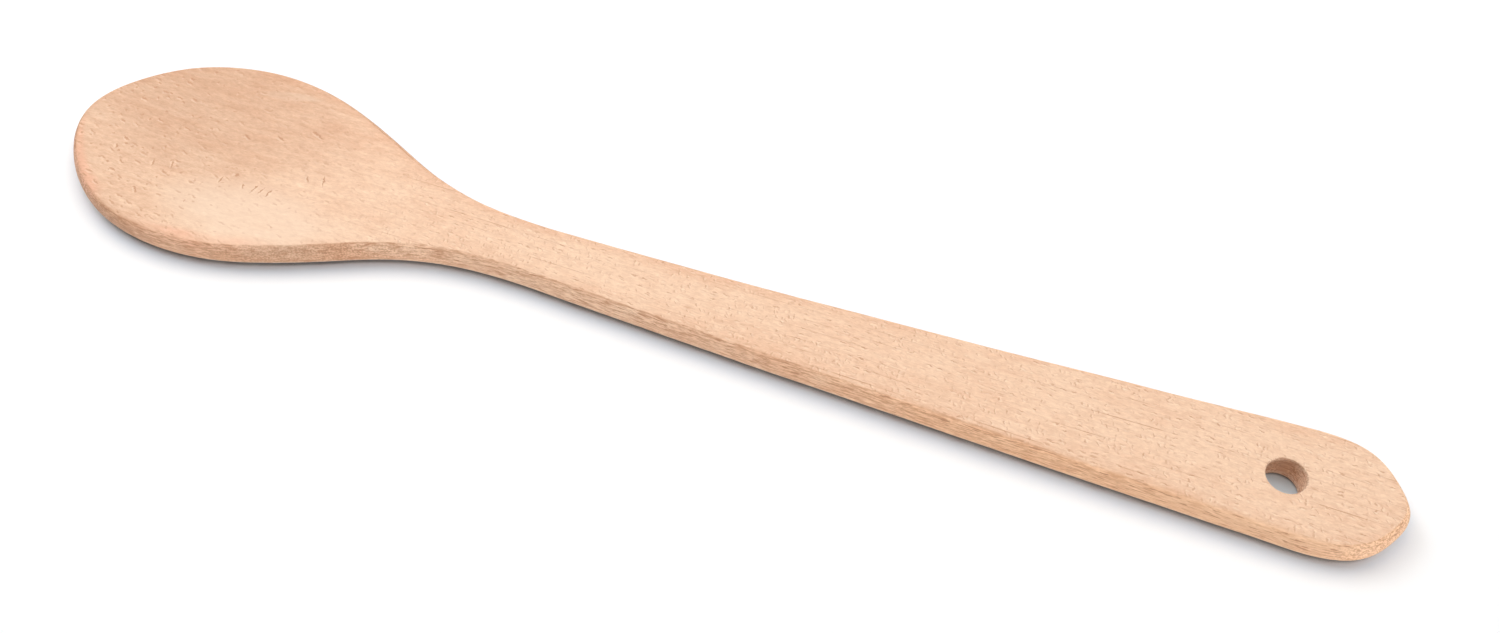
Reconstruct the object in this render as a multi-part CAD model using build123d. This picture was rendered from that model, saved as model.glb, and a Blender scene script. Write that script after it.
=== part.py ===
from build123d import *
import os

# A flat cooking spoon, cut from one board of beech. It lies on its back, dish up, with
# the bowl towards -X and the hanging hole towards +X. Its back is at z = 0, and the
# origin is under the middle of its length and width.

# The board
length = 310.0            # tip of the bowl to the end of the handle
thickness = 6.2

# The outline, shaped against a template
bowl_width = 56.6         # across the bowl at its broadest
bowl_front = 40.0         # from the tip back to the broadest place
neck_width = 15.2         # across the narrowest place, behind the bowl
neck_back = 126.0         # from the tip back to that place
grip_width = 27.2         # across the handle where its straight sides end
end_round = 20.0          # length of the rounded end

# The sides are run past a hollow cutter, so they swell in one round from face to face
# and meet each face at a crisp ridge.
side_swell = 1.6          # how far the middle of the side stands out past the ridges

# The dish, a shallow hollow milled into the face of the bowl
dish_depth = 2.2
dish_width = 48.0
dish_length = 73.0
dish_front = 3.6          # from the tip of the bowl to the front of the dish

# The hanging hole, drilled through and eased at both faces
hole_width = 8.0
hole_back = 23.6          # from the end of the handle to the middle of the hole
hole_ease = 0.3

# How the outline runs from one of the sizes above to the next. The first number of a
# pair is the share of the way along, the second the share of the change in half width.
nose_shares = ((0.175, 0.512), (0.500, 0.848))
shoulder_shares = ((0.256, 0.176), (0.512, 0.630), (0.744, 0.937))
end_shares = ((0.650, 0.183),)

overrun = 5.0             # how far a cutter runs past a face


def run_between(start, stop, shares):
    """Points from start to stop, both among them, placed by shares of the way and change."""
    inner = [(start[0] + (stop[0] - start[0]) * way_share,
              start[1] + (stop[1] - start[1]) * change_share)
             for way_share, change_share in shares]
    return [start, *inner, stop]


# One side of the outline: round the bowl to the neck, straight down the handle, round its end
tip_x = -length / 2
end_x = length / 2
tip = (tip_x, 0)
broad = (tip_x + bowl_front, bowl_width / 2)
neck = (tip_x + neck_back, neck_width / 2)
grip = (end_x - end_round, grip_width / 2)
end = (end_x, 0)
along_handle = (grip[0] - neck[0], grip[1] - neck[1])

bowl_points = run_between(tip, broad, nose_shares) + run_between(broad, neck, shoulder_shares)[1:]
bowl_side = Spline(bowl_points, tangents=[(0, 1), along_handle], tangent_scalars=[1, 1])
handle_side = Line(neck, grip)
end_points = run_between(grip, end, end_shares)
end_side = Spline(end_points, tangents=[along_handle, (0, -1)], tangent_scalars=[1, 1])
one_side = Curve() + [bowl_side, handle_side, end_side]
other_side = mirror(one_side, about=Plane.XZ)
outline = make_face(one_side.edges() + other_side.edges())

# The core of the board stops short of the sides, and the swelling sides are swept round it.
# A side's section is an arc through both ridges and its own middle.
core_inset = 2 * side_swell
rim = outline.faces()[0].outer_wire()
core_rim = offset(rim, -core_inset)
core = extrude(make_face(core_rim.edges()), thickness)

start = rim @ 0
forward = rim % 0
outward = Vector(forward.Y, -forward.X, 0)
if outline.faces()[0].is_inside(start + outward * side_swell):
    outward = -outward
section_plane = Plane(origin=start, x_dir=outward, z_dir=outward.cross(Vector(0, 0, 1)))
low_ridge = (-side_swell, 0)
high_ridge = (-side_swell, thickness)
inner = -core_inset - side_swell
swell = ThreePointArc(low_ridge, (0, thickness / 2), high_ridge)
back = Polyline(high_ridge, (inner, thickness), (inner, 0), low_ridge)
section = section_plane * make_face((Curve() + [swell, back]).edges())
sides = sweep(section, path=rim)

board = core + sides

# The dish is turned, not plunged: a wide wheel with a crowned rim cuts it, turning about
# an axis that lies along the spoon, high over the bowl.
wheel_radius = ((dish_width / 2) ** 2 + dish_depth ** 2) / (2 * dish_depth)
crown_radius = ((dish_length / 2) ** 2 + dish_depth ** 2) / (2 * dish_depth)
dish_x = tip_x + dish_front + dish_length / 2
floor_z = thickness - dish_depth
axle_z = floor_z + wheel_radius
half_wheel = (crown_radius ** 2 - (crown_radius - wheel_radius) ** 2) ** 0.5
wheel_front = (dish_x - half_wheel, axle_z)
wheel_back = (dish_x + half_wheel, axle_z)
crown = ThreePointArc(wheel_front, (dish_x, floor_z), wheel_back)
wheel_section = Plane.XZ * make_face((Curve() + [crown, Line(wheel_back, wheel_front)]).edges())
axle = Axis((dish_x, 0, axle_z), (1, 0, 0))
wheel = revolve(wheel_section, axis=axle)

# The hanging hole and the eased rims
hole_x = end_x - hole_back
hole_radius = hole_width / 2
drill = Pos(hole_x, 0, thickness / 2) * Cylinder(hole_radius, thickness + 2 * overrun)
ease_radius = hole_radius + hole_ease
low_ease = Pos(hole_x, 0, hole_ease / 2) * Cone(ease_radius, hole_radius, hole_ease)
high_ease = Pos(hole_x, 0, thickness - hole_ease / 2) * Cone(hole_radius, ease_radius, hole_ease)

spoon = board - wheel - drill - low_ease - high_ease
spoon.label = "spoon"

print("spoon", spoon.bounding_box().size, "volume", round(spoon.volume), "faces", len(spoon.faces()))
print("side round radius", round(((thickness / 2) ** 2 + side_swell ** 2) / (2 * side_swell), 2))
print("wood left under the dish", round(floor_z, 2))
print("hole at x", hole_x, "straight wall", thickness - 2 * hole_ease)

os.makedirs("parts", exist_ok=True)
export_step(spoon, "parts/spoon.step")
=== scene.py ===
# %% [markdown]
# # A beech cooking spoon
# A flat wooden spoon lies on a pale table, dish up, lit by a wide soft lamp from behind. The
# spoon is one board: bowl, neck and handle are sawn from it in one piece, so there is one
# object to build. Its look comes from three things: the exact outline, the crisp ridge
# where the rounded side meets the flat face, and the wood itself.

# %% Load the measured model
import math
import bmesh
import bpy
import numpy as np
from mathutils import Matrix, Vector, geometry, kdtree, noise


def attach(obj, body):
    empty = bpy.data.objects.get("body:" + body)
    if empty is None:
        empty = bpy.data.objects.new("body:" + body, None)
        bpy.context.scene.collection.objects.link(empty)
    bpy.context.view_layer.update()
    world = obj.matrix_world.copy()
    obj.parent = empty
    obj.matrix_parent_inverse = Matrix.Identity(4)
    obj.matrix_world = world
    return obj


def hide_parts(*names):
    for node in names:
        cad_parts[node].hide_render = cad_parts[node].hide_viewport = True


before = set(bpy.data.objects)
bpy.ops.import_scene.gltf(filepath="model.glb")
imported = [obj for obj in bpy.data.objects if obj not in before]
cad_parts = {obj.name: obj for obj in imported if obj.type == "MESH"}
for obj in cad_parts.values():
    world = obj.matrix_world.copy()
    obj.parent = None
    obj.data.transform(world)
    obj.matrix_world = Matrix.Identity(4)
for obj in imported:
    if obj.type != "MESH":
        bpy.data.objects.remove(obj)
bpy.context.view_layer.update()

# %% [markdown]
# ## The sizes
# All the sizes are the spoon's own, in metres. The middle of the spoon's length is x = 0,
# the bowl lies towards -x, and the back lies on z = 0.

# %% The spoon's sizes
MM = 0.001
LENGTH, THICKNESS = 310 * MM, 6.2 * MM
BOWL_WIDTH, BOWL_FRONT = 56.6 * MM, 40 * MM
NECK_WIDTH, NECK_BACK = 15.2 * MM, 126 * MM
GRIP_WIDTH, END_ROUND = 27.2 * MM, 20 * MM
SIDE_SWELL = 1.6 * MM
DISH_DEPTH, DISH_WIDTH, DISH_LENGTH, DISH_FRONT = 2.2 * MM, 48 * MM, 73 * MM, 3.6 * MM
HOLE_RADIUS, HOLE_BACK, HOLE_EASE = 4 * MM, 23.6 * MM, 0.3 * MM
TIP_X, END_X = -LENGTH / 2, LENGTH / 2
HOLE_X = END_X - HOLE_BACK
print("spoon", LENGTH / MM, "by", BOWL_WIDTH / MM, "by", THICKNESS / MM, "mm")

# %% [markdown]
# ## The outline
# A spoon like this is shaped against a template, so its outline is one flowing line. It
# could be a curve object, but a cubic spline worked out with numpy gives its points at once,
# and everything after this follows them. The slopes at the inner points come from one small
# set of equations, which makes the bend of the line change without a jump.

# %% A spline through given points
def flowing_line(points, leave, arrive, count):
    """Points along a cubic spline through the given ones, leaving and arriving in set directions."""
    p = np.array(points, float)
    step = np.linalg.norm(np.diff(p, axis=0), axis=1)
    n = len(p)
    rows, right = np.zeros((n, n)), np.zeros((n, 2))
    leave = np.array(leave, float) / np.linalg.norm(leave)
    arrive = np.array(arrive, float) / np.linalg.norm(arrive)
    rows[0, 0], right[0] = 1, leave
    rows[-1, -1], right[-1] = 1, arrive
    for i in range(1, n - 1):
        a, b = step[i - 1], step[i]
        rows[i, i - 1], rows[i, i], rows[i, i + 1] = b, 2 * (a + b), a
        right[i] = 3 * (a * (p[i + 1] - p[i]) / b + b * (p[i] - p[i - 1]) / a)
    slope = np.linalg.solve(rows, right)
    at = np.linspace(0, step.sum(), count)
    start = np.r_[0, np.cumsum(step)]
    k = np.clip(np.searchsorted(start, at, side="right") - 1, 0, n - 2)
    h = step[k][:, None]
    t = ((at - start[k]) / step[k])[:, None]
    return ((1 + 2 * t) * (1 - t) ** 2 * p[k] + t * (1 - t) ** 2 * h * slope[k]
            + t * t * (3 - 2 * t) * p[k + 1] + t * t * (t - 1) * h * slope[k + 1])


print("a trial line ends at", flowing_line([(0, 0), (1, 1), (2, 0)], (0, 1), (0, -1), 5)[-1])

# %% [markdown]
# The bowl and the neck are one spline from the tip of the bowl to the narrowest place. It
# goes through a few points, each given as a share of the way and of the change in width. The
# handle's side is a straight line, and a second short spline rounds the end.

# %% Draw one side of the outline
bowl, neck, grip = BOWL_WIDTH / 2, NECK_WIDTH / 2, GRIP_WIDTH / 2
broad_x, neck_x, grip_x = TIP_X + BOWL_FRONT, TIP_X + NECK_BACK, END_X - END_ROUND
down_handle = (grip_x - neck_x, grip - neck)
nose = [(TIP_X + BOWL_FRONT * a, bowl * b) for a, b in ((0.175, 0.512), (0.5, 0.848))]
shoulder = [(broad_x + (neck_x - broad_x) * a, bowl + (neck - bowl) * b)
            for a, b in ((0.256, 0.176), (0.512, 0.630), (0.744, 0.937))]
bowl_side = flowing_line([(TIP_X, 0), *nose, (broad_x, bowl), *shoulder, (neck_x, neck)],
                         (0, 1), down_handle, 900)
end_side = flowing_line([(grip_x, grip), (grip_x + 0.65 * END_ROUND, 0.817 * grip), (END_X, 0)],
                        down_handle, (0, -1), 200)
one_side = np.vstack([bowl_side, end_side])
print("outline", len(one_side), "points, broadest", round(one_side[:, 1].max() * 2 / MM, 2), "mm")

# %% [markdown]
# The two sides are joined into one loop with its points evenly spaced, which keeps every
# later row of faces regular. A template gives two equal sides, but the finished spoon is
# rounded by hand, so its side wanders in and out by a few tenths of a millimetre. That
# wander is given at places round the loop, from the tip of the bowl along the far side to
# the end and back along the near side, and is smoothed over a few millimetres.

# %% Join both sides into an even loop and let it wander
N = 720                   # points round the spoon


def evenly(points, count):
    """The closed line through points, as count points of even spacing."""
    closed = np.vstack([points, points[:1]])
    run = np.r_[0, np.cumsum(np.linalg.norm(np.diff(closed, axis=0), axis=1))]
    at = np.linspace(0, run[-1], count, endpoint=False)
    return np.c_[np.interp(at, run, closed[:, 0]), np.interp(at, run, closed[:, 1])]


def outward_of(loop):
    """The outward direction in plan at every point of the loop."""
    ahead = np.roll(loop, -1, axis=0) - np.roll(loop, 1, axis=0)
    ahead /= np.linalg.norm(ahead, axis=1)[:, None]
    return np.c_[-ahead[:, 1], ahead[:, 0]]


other_side = one_side[-2:0:-1] * (1, -1)
loop = evenly(np.vstack([one_side, other_side]), N)
far_wander = (0, 4, 10, -15, -5, -6, -6, 25, 3, 20, 32, 11, -3, -16, -24, -22, -10, -9, -7, 6, 25, 24)
end_wander = (40, 47, 42, 44, 41, 67, 17, -31, 90, -69, -9, 0, -16, -3, -10, -18, -10)
near_wander = (-11, -8, -11, -5, -9, -5, 8, 7, 12, 10, 12, 10, -14, -32, 7, -9, 7, 4, 13, -3, -3)
places = np.r_[np.linspace(0, 0.42, 22), np.linspace(0.44, 0.56, 17), np.linspace(0.58, 0.98, 21), 1]
wander = np.interp(np.arange(N) / N, places, (*far_wander, *end_wander, *near_wander, 0)) * MM / 100
reach = np.arange(-12, 13)
brush = np.exp(-reach ** 2 / 18) / np.exp(-reach ** 2 / 18).sum()
wander = sum(np.roll(wander, k) * share for k, share in zip(reach, brush))
loop = loop + outward_of(loop) * wander[:, None]
outward = outward_of(loop)
print("loop of", N, "points,", round(np.linalg.norm(loop[1] - loop[0]) / MM, 2), "mm apart, wander up to",
      round(np.abs(wander).max() / MM, 2), "mm")

# %% [markdown]
# The board was never quite straight: seen along its length, its middle lies a little over
# half a millimetre to one side and its two ends a millimetre to the other. The finished
# points are shifted sideways by that much at the very end, so that everything before it can
# be worked out on a straight spoon.

# %% The sideways bend of the board
SIDE_BEND = 1.63 * MM


def bend(x):
    """How far the middle line lies to the side at x."""
    share = (x - TIP_X) / LENGTH
    return SIDE_BEND * (2 / 3 - 4 * share * (1 - share))


print("middle line from", round(bend(0) / MM, 2), "mm to", round(bend(END_X) / MM, 2), "mm to the side")

# %% [markdown]
# ## The section of the side
# The side of the spoon swells out in one round, as a hollow cutter leaves it, and meets the
# face at a ridge that a touch of sandpaper has just broken. Each row of the section is a
# distance in from the outline and a height. The arc comes first, then a very small curve
# over each ridge, so that the ridge catches the light as a thin line and isn't a hard fold.
# Sandpaper held by hand doesn't press evenly, so the ridge is broken more along the near
# side of the grip than anywhere else.

# %% The arc and the two ridges
def rise(value, low, high):
    """0 below low, 1 above high, and smooth between."""
    share = np.clip((value - low) / (high - low), 0, 1)
    return share * share * (3 - 2 * share)


near_side = rise(-loop[:, 1], -2 * MM, 4 * MM)
soft_grip = near_side * rise(loop[:, 0], 30 * MM, 90 * MM) * (1 - rise(loop[:, 0], 138 * MM, 148 * MM))
soft_tip = near_side * (1 - rise(loop[:, 0], -125 * MM, -105 * MM))
top_break = (0.28 + 1.0 * soft_grip + 0.3 * soft_tip) * MM
low_break = np.full(len(loop), 0.35 * MM)
arc_radius = ((THICKNESS / 2) ** 2 + SIDE_SWELL ** 2) / (2 * SIDE_SWELL)
half_arc = math.asin(THICKNESS / 2 / arc_radius)


def on_arc(angle):
    """(distance in, height) of the side's arc at an angle above its middle."""
    return np.array([arc_radius * (1 - np.cos(angle)), THICKNESS / 2 + arc_radius * np.sin(angle)])


def over_ridge(broken):
    """The upper ridge: a small curve from the arc to the face, as an array of rows."""
    start = on_arc(half_arc - broken / arc_radius)
    ridge = np.array([np.full_like(broken, SIDE_SWELL), np.full_like(broken, THICKNESS)])
    stop = np.array([SIDE_SWELL + broken, np.full_like(broken, THICKNESS)])
    return np.array([(1 - t) ** 2 * start + 2 * t * (1 - t) * ridge + t * t * stop
                     for t in np.linspace(0, 1, 7)])


print("side's arc radius", round(arc_radius / MM, 2), "mm, ridge broken by",
      round(top_break.min() / MM, 2), "to", round(top_break.max() / MM, 2), "mm")

# %% [markdown]
# The rows are now stacked from the back over the side to the face. A narrow flat strip at
# either end gives the two flat faces a clean border to join.

# %% Stack the rows of the section
flat_strip = np.array([[0.3 * MM], [0]])
upper = over_ridge(top_break)
lower = over_ridge(low_break)
lower[:, 1] = THICKNESS - lower[:, 1]
swell = [on_arc(-half_arc + low_break / arc_radius
                + (2 * half_arc - (low_break + top_break) / arc_radius) * share)
         for share in np.linspace(0, 1, 14)[1:-1]]
section = np.array([lower[-1] + flat_strip, *lower[::-1], *swell, *upper, upper[-1] + flat_strip])
print("section of", len(section), "rows")

# %% [markdown]
# ## The dish
# The hollow in the bowl is shallow: a broad wheel with a crowned rim could cut it. Its depth
# at any point follows from the wheel's radius and the crown's. Where it runs out into the
# face, sanding has softened the line, so the depth fades in over a few hundredths.

# %% How deep the dish is
dish_x = TIP_X + DISH_FRONT + DISH_LENGTH / 2
wheel_radius = ((DISH_WIDTH / 2) ** 2 + DISH_DEPTH ** 2) / (2 * DISH_DEPTH)
crown_radius = ((DISH_LENGTH / 2) ** 2 + DISH_DEPTH ** 2) / (2 * DISH_DEPTH)
EDGE_FADE = 0.05 * MM


def dish(x, y):
    """Depth of the dish at points of the plan."""
    reach = wheel_radius - crown_radius + np.sqrt(crown_radius ** 2 - (x - dish_x) ** 2)
    depth = DISH_DEPTH - wheel_radius + np.sqrt(np.maximum(reach ** 2 - y ** 2, 0))
    depth = np.where(reach > 0, depth, -THICKNESS)
    return (depth + np.sqrt(depth ** 2 + EDGE_FADE ** 2)) / 2


print("dish", round(float(dish(dish_x, 0)) / MM, 2), "mm deep, wheel radius", round(wheel_radius / MM), "mm")

# %% [markdown]
# ## The face and the back
# The face could be a grid, but a grid meets a curved outline in steps. A constrained
# Delaunay triangulation takes the exact loops of the outline and of the hole as its borders
# and fills the space between with even points. The back is made in the same way with fewer
# points.

# %% Fill a face between its borders
HOLE_COUNT = 96           # points round the hanging hole
hole_angles = np.linspace(0, 2 * math.pi, HOLE_COUNT, endpoint=False)


def ring(radius):
    """A ring round the hanging hole, in plan."""
    return np.c_[HOLE_X + radius * np.cos(hole_angles), radius * np.sin(hole_angles)]


def half_width(border):
    """A function of x that gives the half width of a border loop."""
    upper_half = border[border[:, 1] >= 0]
    upper_half = upper_half[np.argsort(upper_half[:, 0])]
    return lambda x: np.interp(x, upper_half[:, 0], upper_half[:, 1])


def fill(border, hole, spacing):
    """Triangles between the border loop and the hole loop, as (inner points, triangles)."""
    rim = np.vstack([border, hole])
    near = kdtree.KDTree(len(rim))
    for i, (x, y) in enumerate(rim):
        near.insert((x, y, 0), i)
    near.balance()
    width, hole_radius = half_width(border), np.hypot(hole[:, 0] - HOLE_X, hole[:, 1]).max()
    xs = np.arange(border[:, 0].min(), border[:, 0].max(), spacing)
    ys = np.arange(-BOWL_WIDTH / 2, BOWL_WIDTH / 2, spacing * 0.866)
    grid = np.array([(x + (j % 2) * spacing / 2, y) for j, y in enumerate(ys) for x in xs])
    clear_of_hole = np.hypot(grid[:, 0] - HOLE_X, grid[:, 1]) > hole_radius
    grid = grid[(np.abs(grid[:, 1]) < width(grid[:, 0])) & clear_of_hole]
    inner = np.array([(x, y) for x, y in grid if near.find((x, y, 0))[2] > 0.6 * spacing])
    a, b = len(border), len(hole)
    rims = [(i, (i + 1) % a) for i in range(a)] + [(a + i, a + (i + 1) % b) for i in range(b)]
    points = [Vector(p) for p in np.vstack([rim, inner])]
    _, _, triangles, source, _, _ = geometry.delaunay_2d_cdt(points, rims, [], 1, 1e-9)
    named = [[source[i][0] for i in tri] for tri in triangles]
    kept = [tri for tri in named if not all(a <= i < a + b for i in tri)]
    return inner, kept


print("hanging hole", HOLE_COUNT, "points round, at x =", round(HOLE_X / MM, 1), "mm")

# %% [markdown]
# ## Joining it all into one skin
# Every ring of points is numbered once, and neighbouring rows share their points, so the
# skin is closed without any merging afterwards. Each point also keeps its distance from the
# ridge, less than nothing on the side and more on the face, because the colour of the wood
# changes there.

# %% Go round the side, row by row
INSIDE = 9                # stands for a distance that is worked out later
points, faces, from_ridge = [], [], []


def add_points(plan, heights, ridge_distance):
    """Adds a row of points and returns the number of its first."""
    first = len(points)
    points.extend((x, y, z) for (x, y), z in zip(plan, heights))
    from_ridge.extend(np.broadcast_to(ridge_distance, (len(plan),)))
    return first


def add_band(low, high, count):
    """Quads between two rows of the same count."""
    faces.extend((low + i, low + (i + 1) % count, high + (i + 1) % count, high + i) for i in range(count))


rows = []
for inset, height in section:
    plan = loop - outward * inset[:, None]
    down_the_side = -np.hypot(inset - SIDE_SWELL, height - THICKNESS)
    on_face = (height > THICKNESS / 2) & (inset >= SIDE_SWELL)
    run = np.where(on_face, inset - SIDE_SWELL, down_the_side)
    rows.append((plan, add_points(plan, height, run)))
for (_, low), (_, high) in zip(rows, rows[1:]):
    add_band(low, high, N)
print("side of", len(faces), "faces")

# %% [markdown]
# The hole is drilled, so its wall is straight, and its two rims are eased with a twist of
# sandpaper. It is made of rings too, from the face down to the back. Then the face and the
# back are filled between the border of the side and the rim of the hole.

# %% Line the hole and fill the face and the back
eased, half_eased = HOLE_RADIUS + HOLE_EASE, HOLE_RADIUS + HOLE_EASE / 3
wall_section = ((eased, THICKNESS), (half_eased, THICKNESS - HOLE_EASE / 3),
                (HOLE_RADIUS, THICKNESS - HOLE_EASE), (HOLE_RADIUS, 0.67 * THICKNESS),
                (HOLE_RADIUS, 0.33 * THICKNESS), (HOLE_RADIUS, HOLE_EASE),
                (half_eased, HOLE_EASE / 3), (eased, 0))
wall_rows = []
for radius, height in wall_section:
    plan = ring(radius)
    wall_rows.append((plan, add_points(plan, np.full(HOLE_COUNT, height), INSIDE)))
for (_, high), (_, low) in zip(wall_rows, wall_rows[1:]):
    add_band(low, high, HOLE_COUNT)

for (border, border_first), (hole, hole_first), spacing, height in (
        (rows[-1], wall_rows[0], 0.8 * MM, THICKNESS), (rows[0], wall_rows[-1], 2.2 * MM, 0)):
    inner, triangles = fill(border, hole, spacing)
    inner_first = add_points(inner, np.full(len(inner), height), INSIDE)
    number = [*range(border_first, border_first + N), *range(hole_first, hole_first + HOLE_COUNT),
              *range(inner_first, inner_first + len(inner))]
    faces.extend([number[i] for i in tri] for tri in triangles)
print(len(points), "points,", len(faces), "faces")

# %% [markdown]
# ## What the hand leaves
# The points so far are perfect, and wood shaped by a person is not. The face is sunk by the
# dish's depth. The side has ripples of a few hundredths of a millimetre, as long as a sanding
# stroke, and the face has the faint waves that a belt sander leaves. A drill lifts small
# chips round the rim of a hole in wood, so the hole's upper rim is nudged outward in places.
# The back keeps still, because the spoon lies on it.

# %% Sink the dish and loosen the surface
xyz = np.array(points)
ridge = np.array(from_ridge)
upper_share = xyz[:, 2] / THICKNESS
border_width = half_width(rows[-1][0])
inside = np.clip(np.abs(border_width(xyz[:, 0])) - np.abs(xyz[:, 1]), 0, None) / MM
ridge = np.where(ridge == INSIDE, np.minimum(inside + flat_strip[0, 0] / MM, INSIDE), ridge / MM)
sink = dish(xyz[:, 0], xyz[:, 1]) * (xyz[:, 2] > THICKNESS * 0.999)


def waves(scale, seed, some=slice(None)):
    """Smooth noise between -1 and 1 at the points, with waves of the given lengths in mm."""
    return np.array([noise.noise(Vector(p)) for p in xyz[some] / MM / np.array(scale) + seed])


rim = slice(wall_rows[0][1], wall_rows[0][1] + HOLE_COUNT)
chips = np.array([max(0, noise.noise(Vector((9 * math.cos(t), 9 * math.sin(t), 4)))) for t in hole_angles])
xyz[rim, :2] += np.c_[np.cos(hole_angles), np.sin(hole_angles)] * (0.4 * chips * MM)[:, None]
for row, (_, first) in enumerate(rows[:-1]):
    body = math.sin(math.pi * row / (len(rows) - 1))
    side = slice(first, first + N)
    ripple = 0.05 * waves((13, 13, 5), 3.7, side) + 0.02 * waves((4, 4, 2.5), 8.1, side)
    xyz[side, :2] += outward * (ripple * body * MM)[:, None]
face_wander = 0.035 * MM * waves((26, 11, 30), 1.3) + 0.010 * MM * waves((7, 3, 30), 5.9)
xyz[:, 2] += face_wander * rise(upper_share, 0.5, 1) - sink
xyz[:, 1] += bend(xyz[:, 0])
print("dish sunk by", round(sink.max() / MM, 2), "mm, face waves up to",
      round(np.abs(face_wander).max() / MM, 3), "mm")

# %% [markdown]
# All the points and faces now go into one mesh, because the spoon is one board. An edge
# with other than two faces would be a gap in the skin, so those are counted. The mesh stands
# in for the measured spoon and carries its material.

# %% Make the board
mesh = bpy.data.meshes.new("spoon_board")
mesh.from_pydata([tuple(p) for p in xyz], [], faces)
shape = bmesh.new()
shape.from_mesh(mesh)
bmesh.ops.recalc_face_normals(shape, faces=shape.faces)
open_edges = [e for e in shape.edges if len(e.link_faces) != 2]
print("open edges", len(open_edges), "volume", round(shape.calc_volume() / MM ** 3), "cubic mm")
shape.to_mesh(mesh)
shape.free()
for polygon in mesh.polygons:
    polygon.use_smooth = True
mark = mesh.attributes.new("from_ridge", "FLOAT", "POINT")
mark.data.foreach_set("value", ridge.astype(np.float32))

spoon_board = bpy.data.objects.new("spoon_board", mesh)
bpy.context.collection.objects.link(spoon_board)
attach(spoon_board, "root")
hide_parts("spoon")

# %% [markdown]
# ## The beech
# Beech has three marks, and all of them run through the whole board, so the colour is worked
# out from the place in the wood and not painted on as a picture. Growth rings end each year
# with a thin reddish line. Rays are thin upright ribbons of cells that run out from the
# middle of the tree. This board was sawn with its face along the rays, so the face shows them
# as short slanting flecks across the grain, and the sides show their ends as long thin
# dashes. Fine pores give everything a soft streak along the grain.

# %% Helpers for joining nodes
beech = bpy.data.materials.new("beech")
beech.use_nodes = True
tree = beech.node_tree
tree.nodes.clear()


def node(kind, **settings):
    made = tree.nodes.new(kind)
    for name, value in settings.items():
        setattr(made, name, value)
    return made


def plug(socket, value):
    """Joins an output to a socket, or sets the socket's own value."""
    if isinstance(value, bpy.types.NodeSocket):
        tree.links.new(value, socket)
    else:
        socket.default_value = value


def calc(operation, *values):
    made = node("ShaderNodeMath", operation=operation)
    for socket, value in zip(made.inputs, values):
        plug(socket, value)
    return made.outputs[0]


def both(first, second):
    """The product of two shares, which is high only where both are."""
    return calc("MULTIPLY", first, second)


def vector(operation, *values):
    made = node("ShaderNodeVectorMath", operation=operation)
    for socket, value in zip(made.inputs, values):
        plug(socket, value)
    return made.outputs["Value" if operation == "DOT_PRODUCT" else "Vector"]


print("material", beech.name, "begun")

# %% [markdown]
# Three more helpers do nearly all the work. A fade turns a measure into a share, a tint lays
# one colour over another by such a share, and a cloud is a soft noise whose features have a
# length along each axis of the board. Stretched along x, it gives streaks along the grain.

# %% Helpers for shares, colours and noise
def fade(value, low, high, out_low=0.0, out_high=1.0):
    """Smooth step from out_low at low to out_high at high."""
    made = node("ShaderNodeMapRange", interpolation_type="SMOOTHSTEP", clamp=True)
    for socket, given in zip(made.inputs, (value, low, high, out_low, out_high)):
        plug(socket, given)
    return made.outputs["Result"]


def tint(share, first, second):
    """A colour between two others."""
    made = node("ShaderNodeMix", data_type="RGBA", clamp_factor=True)
    plug(made.inputs["Factor"], share)
    plug(made.inputs[6], first)
    plug(made.inputs[7], second)
    return made.outputs[2]


def cloud(place, cell, detail=2.0, rough=0.5):
    """Soft noise about 0.5, with features as long as cell, in mm along each axis."""
    made = node("ShaderNodeTexNoise", noise_dimensions="3D")
    plug(made.inputs["Vector"], vector("DIVIDE", place, cell))
    plug(made.inputs["Scale"], 1.0)
    plug(made.inputs["Detail"], detail)
    plug(made.inputs["Roughness"], rough)
    return made


print("helpers ready, material still has", len(tree.nodes), "nodes")

# %% [markdown]
# The pattern is tied to a place in the board, not to its surface, so it runs over the ridge
# and down the side as it does in real wood. The place is measured in millimetres and shifted
# by a slow drift, because no tree grows quite straight. A second, smaller shift bends the
# single marks, so that no two of them have the same shape.

# %% Find the place in the wood
surface = node("ShaderNodeTexCoord")
place = vector("MULTIPLY", surface.outputs["Object"], (1000, 1000, 1000))
spot = node("ShaderNodeSeparateXYZ")
plug(spot.inputs[0], place)


def centred(colour):
    """A noise colour about zero, for use as a shift."""
    return vector("SUBTRACT", colour, (0.5, 0.5, 0.5))


drift = vector("MULTIPLY", centred(cloud(place, (70, 24, 24), 1.0).outputs["Color"]), (0, 3.2, 3.2))
grain = vector("ADD", place, drift)
RAGGED_BY = (1.3, 1.0, 0.4)
ragged = vector("MULTIPLY", centred(cloud(place, (1.1, 0.9, 1.1), 2.0, 0.65).outputs["Color"]), RAGGED_BY)
marks = vector("ADD", grain, ragged)
print("place in the wood, marks bent by up to", RAGGED_BY, "mm")

# %% [markdown]
# A ring's colour climbs slowly through the year and falls off at once when the next begins.
# The share of the way through a ring is the fractional part of the distance outwards over
# the ring's width, and two smooth steps turn it into that slow climb and quick fall. A
# fainter line runs halfway between. No line is equally strong everywhere, so a stretched
# noise fades it in and out.

# %% Growth rings
RING_WIDTH, FIRST_LINE = 5.6, 3.35


def line_at(share, start, full):
    """A thin line at the end of a ring, which climbs from start to full and drops at 1."""
    return both(fade(share, start, full), fade(share, full, 1.0, 1.0, 0.0))


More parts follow.
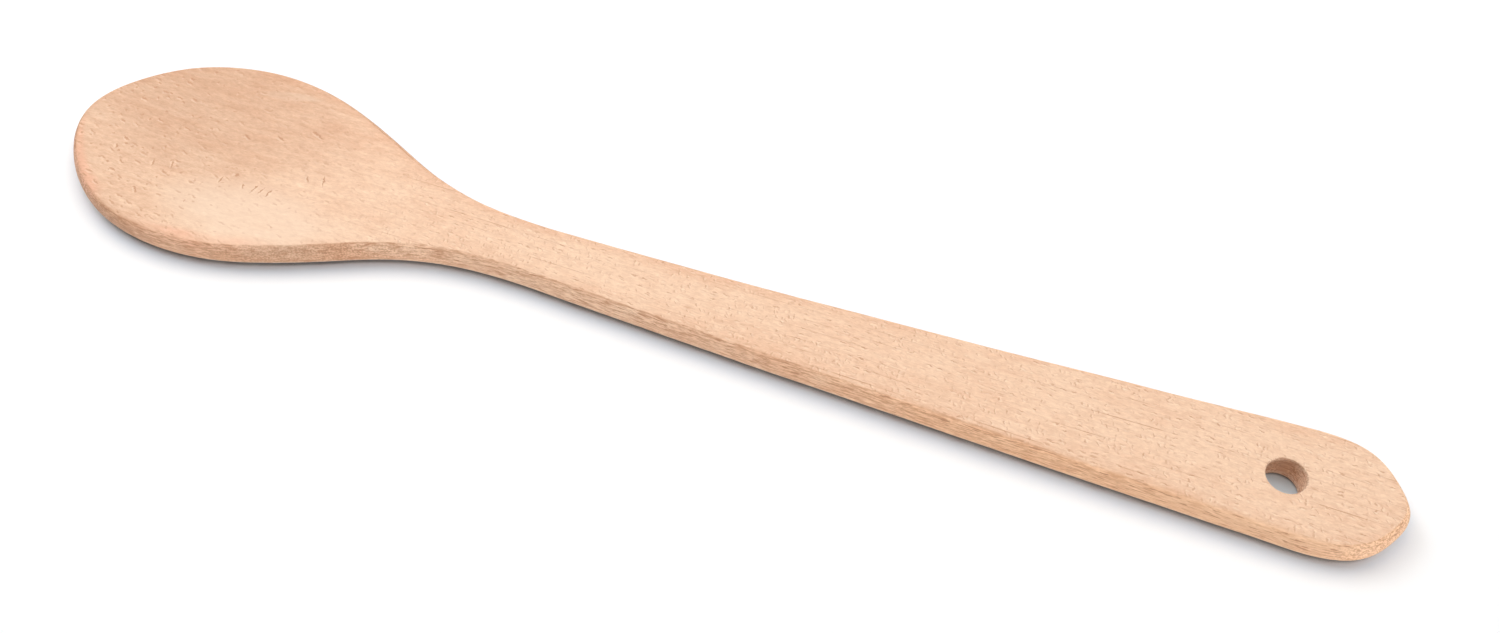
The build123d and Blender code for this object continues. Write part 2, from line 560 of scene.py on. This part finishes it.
outwards = vector("DOT_PRODUCT", grain, (0.004, 1.0, 0.14))
ring_count = calc("DIVIDE", calc("SUBTRACT", outwards, FIRST_LINE), RING_WIDTH)
year = calc("FRACT", ring_count)
half_year = calc("FRACT", calc("ADD", ring_count, 0.46))
year_glow = both(fade(year, 0.2, 0.95), fade(year, 0.96, 1.0, 1.0, 0.0))
ring_strength = fade(cloud(grain, (15, 2.2, 2.2), 3.0, 0.65).outputs["Fac"], 0.45, 0.66)
both_lines = calc("ADD", line_at(year, 0.935, 0.98), both(line_at(half_year, 0.94, 0.975), 0.5))
ring_line = both(both_lines, ring_strength)
print("growth rings", RING_WIDTH, "mm apart")

# %% [markdown]
# Cut across the grain, a ray shows as a short dark stroke in its own colour, and the stroke
# is also a tiny groove. Beside it, on the edge that faces the light, a painted highlight is
# laid as a pale oval.
# A Voronoi pattern scatters the strokes: each of its cells has a middle, and round that
# middle an oval is drawn, with a length, a width and a lean. A random number from the cell
# makes some strokes strong and leaves others out.

# %% Strokes with a painted highlight beside them
HIGHLIGHT_SHIFT = 1.7          # how far the pale edge lies beside a stroke, in half widths


def square_sum(first, second_squared):
    """The square of the first value plus the second, which is already squared."""
    return calc("MULTIPLY_ADD", first, first, second_squared)


def strokes(cell, seed, half_length, half_width, lean, spread, rarity, upright=False):
    """Shares of dark strokes on the face and of the painted highlight beside each, all sizes in mm.
    They lie along the spoon, or across it if upright."""
    scaled = vector("ADD", vector("DIVIDE", marks, (cell[0], cell[1], 1)), (seed, seed, 0))
    cells = node("ShaderNodeTexVoronoi", feature="F1", voronoi_dimensions="2D")
    plug(cells.inputs["Vector"], scaled)
    plug(cells.inputs["Scale"], 1.0)
    chance, away = node("ShaderNodeSeparateColor"), node("ShaderNodeSeparateXYZ")
    plug(chance.inputs[0], cells.outputs["Color"])
    to_middle = vector("SUBTRACT", scaled, cells.outputs["Position"])
    plug(away.inputs[0], vector("MULTIPLY", to_middle, (*cell, 0)))
    along, across = away.outputs["X"], away.outputs["Y"]
    if upright:
        along, across = across, along
    lean_here = calc("MULTIPLY_ADD", calc("SUBTRACT", chance.outputs[1], 0.5), spread, lean)
    across = calc("MULTIPLY_ADD", along, lean_here, across)
    length_squared = calc("POWER", calc("DIVIDE", along, half_length), 2.0)
    strength = fade(chance.outputs[0], rarity, 1.0)

    def oval(shift):
        width_share = calc("DIVIDE", calc("ADD", across, shift * half_width), half_width)
        return both(fade(square_sum(width_share, length_squared), 1.0, 0.1), strength)

    return oval(0.0), oval(-HIGHLIGHT_SHIFT if upright else HIGHLIGHT_SHIFT)


steep_rays, steep_highlights = strokes((1.15, 1.30), 3.1, 0.58, 0.23, 0.38, 1.2, 0.30, upright=True)
lying_rays, lying_highlights = strokes((2.3, 0.95), 8.3, 0.95, 0.19, 0.08, 0.3, 0.25)
bowl_rays, bowl_highlights = strokes((3.8, 2.2), 5.7, 1.30, 0.30, 0.28, 0.35, 0.42)
bowl_dots, dot_highlights = strokes((2.2, 1.6), 1.9, 0.50, 0.32, 0.2, 0.9, 0.55)
print("four kinds of stroke,", len(tree.nodes), "nodes so far")

# %% [markdown]
# Between the strokes the wood isn't even either. Fibres give a very fine streak along the
# grain, wider bands and patches give a slow change of tone, and the sides, where the saw
# opened the pores lengthwise, carry long thin dashes. All of it is noise, stretched along
# the grain by a different amount each time.

# %% Fibres, bands and dashes
def streaks(place, cell, detail=2.0, rough=0.5):
    """The grey value of a cloud."""
    return cloud(place, cell, detail, rough).outputs["Fac"]


fibre = streaks(marks, (1.3, 0.26, 0.5), rough=0.65)
mottle = streaks(marks, (1.9, 0.8, 1.6), rough=0.55)
side_dashes = streaks(grain, (3.0, 1.4, 0.30), 3.0, 0.75)
side_lines = fade(streaks(grain, (3.2, 2.0, 0.26), rough=0.65), 0.45, 0.34)
soft_bands = streaks(grain, (6.5, 1.3, 3), rough=0.55)
flecks = streaks(grain, (3.5, 2.4, 4), rough=0.6)
bands = streaks(grain, (90, 6, 12))
patches = streaks(grain, (22, 7, 12))
speckle = streaks(place, (0.42, 0.34, 0.34), 1.0)
clusters = fade(streaks(grain, (8, 3.2, 9)), 0.38, 0.60)
print("streaks made,", len(tree.nodes), "nodes so far")

# %% [markdown]
# ## Where the wood differs
# The bowl is a little pinker than the handle, from the machine that dished it, and a
# painted shade makes it a little darker. Its near slope is smoother, where the cutter ran
# with the grain, and paler, partly as paler wood and partly as a painted highlight where it
# faces the lamp. The sides drink in more oil, so they are ruddier, and where the outline
# crosses the grain the open ends of the pores speckle them. Each of these is a share between
# 0 and 1, made from the place, from the direction of the surface or from the distance to the
# ridge.

# %% Shares for the bowl, the handle and the sides
here_x, here_y, here_z = (spot.outputs[axis] for axis in "XYZ")
facing = node("ShaderNodeSeparateXYZ")
plug(facing.inputs[0], surface.outputs["Normal"])

in_bowl = fade(here_x, -50.0, -88.0)
in_handle = calc("SUBTRACT", 1.0, in_bowl)
before_end = fade(here_x, 122.0, 80.0)
face_share = fade(facing.outputs["Z"], 0.78, 0.98)
side_share = calc("SUBTRACT", 1.0, face_share)
end_grain = both(side_share, fade(calc("ABSOLUTE", facing.outputs["X"]), 0.05, 0.40))
warm_side = both(side_share, fade(here_x, 5.0, 90.0, 0.0, 0.6))
# The foot of the side faces down into shade, and painted light makes it paler.
painted_light_low_side = both(side_share, fade(here_z, 2.0, 0.9, 0.0, 0.75))
print("shares for the bowl, the handle and the sides,", len(tree.nodes), "nodes so far")

# %% [markdown]
# Some places stand out by themselves: the pale slope with its painted highlight, the slope
# opposite, which is ruddier and lies under a painted shade, a ruddy patch in the handle, and
# the edge of the bowl, which the sanding wheel has warmed to a rose tone. Each is a soft oval
# on the face. A thin dark line also runs just under the near ridge, and it breaks off before
# the end.

# %% Places that stand out
def patch(x, y, half_length, half_width, lean=0.0):
    """A soft oval share round a place on the face, in mm."""
    across = calc("SUBTRACT", here_y, calc("ADD", both(here_x, lean), y - x * lean))
    wide = calc("DIVIDE", calc("SUBTRACT", here_x, x), half_length)
    deep = calc("DIVIDE", across, half_width)
    return fade(square_sum(wide, both(deep, deep)), 1.0, 0.1)


# The pale slope is partly paler wood and partly a painted highlight.
pale_slope_and_highlight = calc("MAXIMUM", patch(-99, -14.0, 27, 12), both(patch(-110, 21.8, 10, 1.5, 0.16), 0.5))
far_slope = patch(-122, 14, 46, 27)
ruddy_patch = calc("ADD", patch(102, 7, 17, 6), patch(-146, -14, 9, 5, -1.0))
hole_wall = both(side_share, both(patch(131.4, 0, 7, 7), 0.8))

ridge_node = node("ShaderNodeAttribute", attribute_type="GEOMETRY", attribute_name="from_ridge")
ridge_mark = ridge_node.outputs["Fac"]
sanded_edge = calc("ADD", patch(-103, -25, 22, 9), patch(-142, -15.5, 12, 9, -1.0))
at_ridge = both(fade(calc("ABSOLUTE", ridge_mark), 3.2, 0.4), fade(patches, 0.38, 0.55, 0.25, 0.75))
burnish = both(sanded_edge, at_ridge)
rim_blush = both(fade(ridge_mark, 2.6, 0.2), face_share)
under_ridge = both(fade(ridge_mark, -0.75, -0.35), fade(ridge_mark, -0.25, 0.0, 1.0, 0.0))
broken = fade(streaks(place, (11, 4, 4), 3.0, 0.6), 0.42, 0.6)
ridge_line = both(under_ridge, both(broken, before_end))
print("places that stand out,", len(tree.nodes), "nodes so far")

# %% [markdown]
# The dishing cutter has left its own marks: a row of short upright strokes where it came
# round, and a few longer scratches. They are few and easy to see, so each is put in its own
# place, as an oval with a position, a length, a width and a lean.

# %% Marks of the cutter in the dish
CUTTER_MARKS = (
    (-139.8, -7.4, 0.9, 0.28, 1.9), (-128.9, -8.4, 1.2, 0.31, 2.4), (-124.5, -7.2, 1.3, 0.27, 2.0),
    (-111.0, -7.0, 1.4, 0.28, 8.0), (-104.8, -7.0, 0.9, 0.30, 2.4), (-101.8, -6.8, 1.8, 0.30, -9.0),
    (-99.9, -6.8, 1.5, 0.27, -9.0), (-97.7, -6.8, 1.6, 0.30, -7.0), (-108.4, -4.2, 0.8, 0.49, 3.0),
    (-97.0, 13.2, 2.6, 0.30, 0.42), (-105.2, 9.3, 1.7, 0.30, 0.38), (-113.3, 7.1, 1.6, 0.30, 0.50),
    (-91.6, 0.2, 1.3, 0.28, 1.4), (-87.4, 0.6, 2.3, 0.23, 2.3), (-126.6, -17.6, 1.4, 0.30, 1.1))
cut_dark, cut_highlights = 0.0, 0.0
for x, y, half_length, half_width, lean in CUTTER_MARKS:
    steep = math.atan(lean)
    to_mark = vector("SUBTRACT", marks, (x, y, 0))
    along = vector("DOT_PRODUCT", to_mark, (math.cos(steep), -math.sin(steep), 0))
    across = vector("DOT_PRODUCT", to_mark, (math.sin(steep), math.cos(steep), 0))
    length_share = calc("DIVIDE", along, half_length)
    length_squared = both(length_share, length_share)
    width_share = calc("DIVIDE", across, half_width)
    cut_dark = calc("ADD", cut_dark, fade(square_sum(width_share, length_squared), 1.0, 0.2))
    # Beside each cutter mark lies a painted highlight.
    beside = calc("ADD", width_share, HIGHLIGHT_SHIFT)
    cut_highlights = calc("ADD", cut_highlights, fade(square_sum(beside, length_squared), 1.0, 0.2))
print(len(CUTTER_MARKS), "marks of the cutter")

# %% [markdown]
# ## Putting the colour together
# The base lies between a pale and a ruddy beech. How ruddy it is at a place is a sum: a
# little for the bowl, more for the sides, less for the side near the end, and some of each
# of the slow noises, which are taken about their middle so that they lighten as much as
# they darken.

# %% How ruddy the wood is
def adding(shares, start=0.0):
    """The sum of several shares, each with its weight."""
    total = start
    for share, weight in shares:
        total = calc("MULTIPLY_ADD", share, weight, total)
    return total


def about_middle(share):
    return calc("SUBTRACT", share, 0.5)


ruddy_by_place = adding([
    (fade(here_x, -85.0, -125.0), 0.19), (fade(here_x, 5.0, -60.0), 0.14), (far_slope, 0.36),
    (ruddy_patch, 0.20), (both(rim_blush, patches), 0.35),
    (side_share, 0.34), (both(side_share, in_bowl), 0.16),
    (both(side_share, fade(here_x, 30.0, 70.0)), 0.12),
    (both(side_share, fade(here_x, 95.0, 135.0)), -0.62),
    (end_grain, 0.18), (both(end_grain, in_bowl), 0.45)], 0.05)
ruddy = adding([
    (about_middle(bands), 0.60), (about_middle(patches), 0.75), (year_glow, 0.05),
    (both(about_middle(soft_bands), in_handle), 0.55), (both(about_middle(soft_bands), in_bowl), 0.60),
    (both(about_middle(flecks), in_handle), 0.60), (both(about_middle(patches), side_share), 0.3)],
    ruddy_by_place)
print("ruddy share added,", len(tree.nodes), "nodes so far")

# %% [markdown]
# Over the base come the special tones, each in its own place: cream on the pale slope, which
# is partly a painted highlight, honey on the side of the handle, rose on the sanded edge,
# painted light on the foot of the side, and the bare wall of the hole. The left of the bowl,
# its far slope and the open end grain of its sides are a painted shade darker, which is a
# multiplication, because it is shade and not pigment.

# %% Mix the base
PALE_BEECH = (0.895, 0.610, 0.422, 1)
RUDDY_BEECH = (0.775, 0.430, 0.262, 1)
CREAM_AND_HIGHLIGHT = (0.935, 0.735, 0.560, 1)
HONEY = (0.890, 0.510, 0.285, 1)
ROSE = (0.930, 0.500, 0.330, 1)
PAINTED_LIGHT_FOOT = (0.940, 0.760, 0.640, 1)
BARE_WALL = (0.760, 0.560, 0.430, 1)
UNCHANGED, PAINTED_SHADE_TONE = (1, 1, 1, 1), (0.86, 0.88, 0.88, 1)

wood = tint(ruddy, PALE_BEECH, RUDDY_BEECH)
# Cream is partly a painted highlight, and the pale foot is painted light.
for share, tone in ((both(pale_slope_and_highlight, 0.42), CREAM_AND_HIGHLIGHT), (warm_side, HONEY), (burnish, ROSE),
                    (painted_light_low_side, PAINTED_LIGHT_FOOT), (hole_wall, BARE_WALL)):
    wood = tint(share, wood, tone)
# Painted shade: the left of the bowl, its far slope and the end grain of its sides are darkened.
bowl_painted_shade = adding([
    (fade(here_x, -85.0, -140.0), 0.55), (far_slope, 0.40), (both(end_grain, in_bowl), 1.1)])
wood = vector("MULTIPLY", wood, tint(bowl_painted_shade, UNCHANGED, PAINTED_SHADE_TONE))
print("base mixed from", PALE_BEECH[:3], "and", RUDDY_BEECH[:3])

# %% [markdown]
# The fibres lighten and darken the base in the same way. On the side they are stronger than
# on the face, and on the pale slope they nearly vanish.

# %% Add the shade of the fibres
BRIGHT_FIBRE, DARK_FIBRE = (1.19, 1.28, 1.34, 1), (0.81, 0.72, 0.66, 1)


def less(share, loss):
    """1 where the share is 0, falling by the loss where it is 1."""
    return calc("MULTIPLY_ADD", share, -loss, 1.0)


calm_end = calc("MULTIPLY_ADD", before_end, 0.55, 0.45)
shade = adding([
    (both(about_middle(fibre), face_share), 0.60), (both(about_middle(mottle), face_share), 0.45),
    (both(both(about_middle(side_dashes), side_share), calm_end), 3.1),
    (both(about_middle(speckle), end_grain), 2.4), (both(about_middle(soft_bands), in_bowl), 0.25)])
shade = both(shade, less(pale_slope_and_highlight, 0.55))
wood = vector("MULTIPLY", wood, tint(fade(shade, -0.5, 0.5), BRIGHT_FIBRE, DARK_FIBRE))
print("fibres between", BRIGHT_FIBRE[:3], "and", DARK_FIBRE[:3])

# %% [markdown]
# The strokes go on top. The handle has its steep strokes in clusters and its lying ones
# mostly between them, and the bowl has fewer and longer ones, which thin out to the right.

# %% Add the strokes
RAY_BROWN, PAINTED_HIGHLIGHT_TONE = (0.600, 0.300, 0.170, 1), (1.0, 0.80, 0.62, 1)

on_handle = both(face_share, in_handle)
in_clusters = both(on_handle, clusters)
between_clusters = calc("SUBTRACT", 1.25, clusters)
on_bowl = both(both(face_share, in_bowl), fade(here_x, -95.0, -140.0, 0.45, 1.0))
dark_strokes = adding([
    (both(steep_rays, in_clusters), 0.62), (both(both(lying_rays, on_handle), between_clusters), 0.62),
    (both(bowl_rays, on_bowl), 0.85), (both(bowl_dots, on_bowl), 0.85),
    (both(ring_line, on_handle), 0.95), (ridge_line, 0.42), (both(side_lines, side_share), 1.0),
    (both(cut_dark, face_share), 0.9)])
# The pale edges are painted highlights beside the strokes, on the side that faces the lamp.
painted_highlights = adding([
    (both(steep_highlights, in_clusters), 0.38), (both(lying_highlights, on_handle), 0.35),
    (both(bowl_highlights, on_bowl), 0.26), (both(dot_highlights, on_bowl), 0.2),
    (both(cut_highlights, face_share), 0.22)])
wood = tint(painted_highlights, wood, PAINTED_HIGHLIGHT_TONE)
wood = tint(dark_strokes, wood, RAY_BROWN)
print("strokes added,", len(tree.nodes), "nodes so far")

# %% [markdown]
# ## The surface
# Sanded beech is dull, with a slight silky shine where it has been handled. The strokes and
# the fibres are also felt by a fingertip, so the same patterns that colour the wood push its
# surface in by a few hundredths of a millimetre.

# %% Finish the material
RELIEF_DEPTH = 0.05 * MM

relief = adding([
    (dark_strokes, -0.35), (both(fibre, face_share), 0.5), (both(mottle, less(pale_slope_and_highlight, 0.6)), 1.0),
    (both(side_dashes, side_share), 1.8), (both(speckle, end_grain), 0.6),
    (both(soft_bands, in_bowl), 2.0)])
bump = node("ShaderNodeBump")
bump.inputs["Strength"].default_value = 1.0
bump.inputs["Distance"].default_value = RELIEF_DEPTH
plug(bump.inputs["Height"], relief)
finish = node("ShaderNodeBsdfPrincipled")
plug(finish.inputs["Base Color"], wood)
plug(finish.inputs["Roughness"], fade(mottle, 0.3, 0.7, 0.66, 0.54))
finish.inputs["Specular IOR Level"].default_value = 0.35
plug(finish.inputs["Normal"], bump.outputs["Normal"])
output = node("ShaderNodeOutputMaterial")
tree.links.new(finish.outputs["BSDF"], output.inputs["Surface"])
mesh.materials.append(beech)
print("beech made of", len(tree.nodes), "nodes")

# %% [markdown]
# ## The table
# The table is a sheet of matt white paper. It reaches under the lamps and no farther, since
# the rest of a wider one would stand behind the spoon as a grey band when it is looked at
# from low down. The shadow falls on it in the ordinary way, and a painted shade is added
# close to the spoon.

# %% Lay the sheet
SHEET_REACH = 0.9         # from its middle to an edge
sheet_mesh = bpy.data.meshes.new("table_sheet")
sheet_shape = bmesh.new()
bmesh.ops.create_grid(sheet_shape, x_segments=4, y_segments=4, size=SHEET_REACH)
sheet_shape.to_mesh(sheet_mesh)
sheet_shape.free()
table_sheet = bpy.data.objects.new("table_sheet", sheet_mesh)
bpy.context.collection.objects.link(table_sheet)

paper = bpy.data.materials.new("paper")
paper.use_nodes = True
tree = paper.node_tree
paper_finish = tree.nodes["Principled BSDF"]
paper_finish.inputs["Roughness"].default_value = 1.0
paper_finish.inputs["Specular IOR Level"].default_value = 0.0
print("sheet laid,", round(2 * SHEET_REACH, 2), "m wide")

# %% [markdown]
# To the camera the paper is pure white, and to the light that bounces from it to the spoon
# it is a little greyer, as paper is. Beech throws warm light on white paper, and a studio
# picture shows a neutral grey shade there, so to the camera the paper is painted a little
# cooler and darker in the last few millimetres before the spoon, less so at the end of the
# bowl, and a painted shadow darkens it right under the side. Ambient occlusion, which
# measures how much of the sky a point sees, finds those places. Inside the hanging hole the
# paper has a painted cool shade.

# %% Paint cool shade on the paper close to the spoon
WHITE, BOUNCE_GREY = (1, 1, 1, 1), (0.90, 0.90, 0.90, 1)
COOL_PAINTED_SHADE, BOWL_END_PAINTED_SHADE = (0.80, 0.895, 1.0, 1), (0.90, 0.92, 0.97, 1)
UNDER_SHADE, HOLE_SHADE = (0.30, 0.35, 0.41, 1), (0.64, 0.77, 0.86, 1)
SHADE_REACH = 8 * MM      # how far round a point the paper looks for the spoon

seen = node("ShaderNodeLightPath")
seen_or_mirrored = calc("MAXIMUM", seen.outputs["Is Camera Ray"], seen.outputs["Is Glossy Ray"])
seen_at_all = calc("MAXIMUM", seen_or_mirrored, seen.outputs["Is Transmission Ray"])
openness = node("ShaderNodeAmbientOcclusion", samples=16)
openness.inputs["Distance"].default_value = SHADE_REACH
table_place = node("ShaderNodeTexCoord").outputs["Object"]
on_table = node("ShaderNodeSeparateXYZ")
plug(on_table.inputs[0], table_place)
# Painted shade on the paper: cooler near the spoon, darker right under its side.
near_spoon = fade(openness.outputs["AO"], 0.93, 0.60)
under_side = fade(openness.outputs["AO"], 0.43, 0.32)
near_spoon_cool_shade = tint(fade(on_table.outputs["X"], -120 * MM, -145 * MM), COOL_PAINTED_SHADE, BOWL_END_PAINTED_SHADE)
paper_painted_shade = tint(under_side, tint(near_spoon, WHITE, near_spoon_cool_shade), UNDER_SHADE)
from_hole = vector("SUBTRACT", table_place, (HOLE_X, 0, 0))
away = node("ShaderNodeVectorMath", operation="LENGTH")
plug(away.inputs[0], from_hole)
# A painted cool shade on the paper inside the hanging hole.
paper_painted_shade = tint(fade(away.outputs["Value"], HOLE_RADIUS * 1.2, HOLE_RADIUS), paper_painted_shade, HOLE_SHADE)
plug(paper_finish.inputs["Base Color"], tint(seen_at_all, BOUNCE_GREY, paper_painted_shade))
sheet_mesh.materials.append(paper)
print("paper bounces", BOUNCE_GREY[0], "of the light")

# %% [markdown]
# ## The light
# The shadow tells where the light is. It lies only on the near side, it is darkest right
# under the swelling side, and it fades out within two of the spoon's thicknesses. So there
# is a broad lamp behind the spoon, from low to nearly overhead, and a long one straight
# above, which reaches a little way under the side. A smaller one to the left brightens the
# rim of the bowl. Two low white cards in front and to the right keep the near side from
# going dull. They stand so low that they hardly light the table.

# %% Hang the lamps
def softbox(name, place, width, height, power):
    """A rectangular lamp at a place, turned towards the spoon."""
    data = bpy.data.lights.new(name, "AREA")
    data.shape, data.size, data.size_y, data.energy = "RECTANGLE", width, height, power
    lamp = bpy.data.objects.new(name, data)
    lamp.location = place
    lamp.rotation_euler = (-Vector(place)).to_track_quat("-Z", "Y").to_euler()
    bpy.context.collection.objects.link(lamp)
    return lamp


def round_the_table(turn, rise_angle, away=1.2):
    """A place at an angle from the far side, turning to the right, and at an angle above the table."""
    turn, rise_angle = math.radians(turn), math.radians(rise_angle)
    return (away * math.cos(rise_angle) * math.sin(turn), away * math.cos(rise_angle) * math.cos(turn),
            away * math.sin(rise_angle))


lamps = [softbox("back_softbox", round_the_table(0, 56), 2.4, 1.02, 13.7),
         softbox("left_softbox", round_the_table(-70, 42), 0.9, 0.5, 5.0),
         softbox("top_softbox", round_the_table(0, 89), 2.2, 0.38, 6.5),
         softbox("front_card", round_the_table(180, 6), 2.4, 0.18, 3.0),
         softbox("right_card", round_the_table(125, 6), 1.0, 0.18, 6.4)]
print(len(lamps), "lamps of", round(sum(lamp.data.energy for lamp in lamps), 1), "watts together")

# %% [markdown]
# Past the sheet the camera sees only the world, so the world is white to the camera. To
# everything else it is almost dark, and the lamps alone shape the light on the spoon.

# %% Make the world behind it all white
SEEN_STRENGTH, LIGHT_STRENGTH = 1.0, 0.03

world = bpy.data.worlds.new("studio")
bpy.context.scene.world = world
world.use_nodes = True
tree = world.node_tree
tree.nodes.clear()
seen = node("ShaderNodeLightPath")
seen_or_through = calc("MAXIMUM", seen.outputs["Is Camera Ray"], seen.outputs["Is Transmission Ray"])
around_us = node("ShaderNodeBackground")
around_us.inputs["Color"].default_value = (1, 1, 1, 1)
plug(around_us.inputs["Strength"], fade(seen_or_through, 0.0, 1.0, LIGHT_STRENGTH, SEEN_STRENGTH))
world_output = node("ShaderNodeOutputWorld")
tree.links.new(around_us.outputs[0], world_output.inputs["Surface"])
print("world seen at", SEEN_STRENGTH, "and lighting at", LIGHT_STRENGTH)

# %% [markdown]
# ## The camera
# The camera looks down at the spoon from the front, a little to the right of its middle. The
# place and the lens were found by laying this same outline over the real one.

# %% Place the camera
LENS, SENSOR = 30.19, 36  # both in mm
TILT, TURN = 36.75, 21.07  # up from straight down and round the upright axis, in degrees

camera_data = bpy.data.cameras.new("camera")
camera_data.lens, camera_data.sensor_width, camera_data.sensor_fit = LENS, SENSOR, "HORIZONTAL"
camera_data.clip_start, camera_data.clip_end = 0.01, 20
camera = bpy.data.objects.new("camera", camera_data)
camera.location = (77.5 * MM, -150.9 * MM, 221.4 * MM)
camera.rotation_euler = (math.radians(TILT), 0, math.radians(TURN))
bpy.context.collection.objects.link(camera)
bpy.context.scene.camera = camera
print("camera", round(camera.location.length / MM), "mm away with a lens of", LENS, "mm")

# %% [markdown]
# The colours are shown as they are, with no film look over them, so that the wood can be
# compared with a real piece.

# %% Standard colours
bpy.context.scene.view_settings.view_transform = "Standard"
